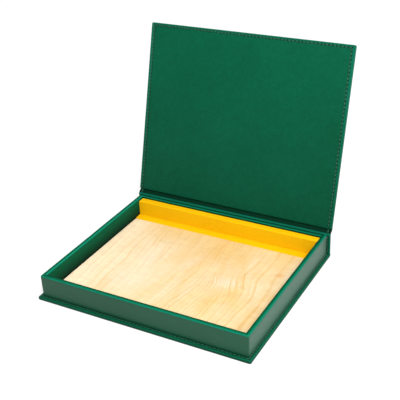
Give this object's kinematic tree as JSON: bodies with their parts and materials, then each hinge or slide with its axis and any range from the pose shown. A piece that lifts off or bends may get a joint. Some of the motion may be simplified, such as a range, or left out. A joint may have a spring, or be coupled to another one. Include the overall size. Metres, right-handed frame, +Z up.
{
  "type": "card deck box",
  "caption": "Book-style leatherette presentation box: a hinged stitched lid over a shallow tray with a plywood floor and a yellow ledge at the back.",
  "frame": {"origin": "middle of the base panel's underside, on the surface that the box stands on", "axes": "+X to the right of someone facing the opening edge, +Y from the opening edge to the spine, +Z up"},
  "size_m": [0.216, 0.231, 0.1959],
  "materials": {
    "green_leatherette": "fine-grained satin",
    "yellow_leatherette": "smooth satin",
    "greyboard": "matt",
    "birch_plywood": "sanded, unvarnished",
    "ledge_wood": "sawn",
    "green_thread": "twisted polyester"
  },
  "bodies": {
    "box": {"base_outer_skin": "green_leatherette", "base_inner_skin": "green_leatherette", "base_board": "greyboard", "base_upper_stitching": "green_thread", "base_lower_stitching": "green_thread", "spine_outer_skin": "green_leatherette", "spine_inner_skin": "green_leatherette", "spine_board": "greyboard", "spine_outer_stitching": "green_thread", "spine_inner_stitching": "green_thread", "hinge_outer_strip": "green_leatherette", "hinge_inner_strip": "green_leatherette", "tray_floor_lining": "green_leatherette", "plywood_back_ply": "birch_plywood", "plywood_core_ply": "birch_plywood", "plywood_face_ply": "birch_plywood", "ledge_rail_core": "ledge_wood", "ledge_foot_core": "ledge_wood", "ledge_wrap": "yellow_leatherette", "front_wall_board": "greyboard", "front_wall_wrap": "green_leatherette", "back_wall_board": "greyboard", "back_wall_wrap": "green_leatherette", "left_wall_board": "greyboard", "left_wall_wrap": "green_leatherette", "right_wall_board": "greyboard", "right_wall_wrap": "green_leatherette"},
    "lid": {"lid_outer_skin": "green_leatherette", "lid_inner_skin": "green_leatherette", "lid_board": "greyboard", "lid_inner_stitching": "green_thread", "lid_outer_stitching": "green_thread"}
  },
  "joints": [
    {"name": "lid_hinge", "type": "hinge", "parent": "box", "child": "lid", "pos_m": [0, 0.0887, 0.0252], "axis": [1, 0, 0], "range_deg": [-80, 106.3], "deforming": ["hinge_outer_strip", "hinge_inner_strip"]}
  ]
}
